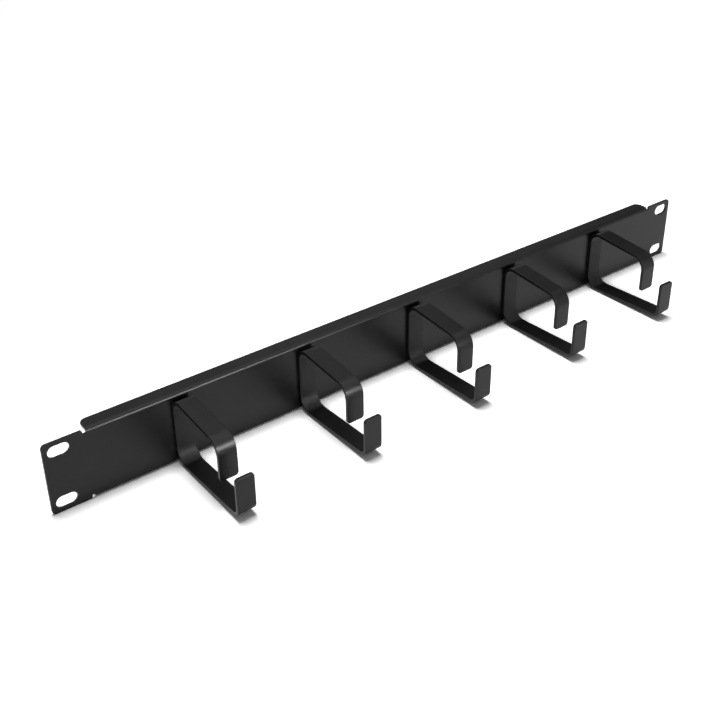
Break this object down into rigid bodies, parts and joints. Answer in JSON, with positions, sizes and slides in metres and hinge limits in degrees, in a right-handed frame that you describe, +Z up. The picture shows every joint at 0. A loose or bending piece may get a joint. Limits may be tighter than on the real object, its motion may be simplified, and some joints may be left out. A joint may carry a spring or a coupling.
{
  "type": "horizontal cable manager",
  "caption": "Folded steel 19-inch rack panel, one unit high, with open bent-strip rings on its front that hold cables in a run along the rack.",
  "frame": {"origin": "centre of the four rack slots on the rear face, which lies against the rack's rails", "axes": "+X along the panel, -Y to the front, where the rings stand out, +Y into the rack, +Z up"},
  "size_m": [0.4826, 0.074, 0.0436],
  "materials": {
    "black_powder_coat": "satin black powder coat with a fine even texture"
  },
  "bodies": {
    "root": {"rack_panel": "black_powder_coat", "cable_ring_1": "black_powder_coat", "cable_ring_2": "black_powder_coat", "cable_ring_3": "black_powder_coat", "cable_ring_4": "black_powder_coat", "cable_ring_5": "black_powder_coat"}
  },
  "joints": []
}
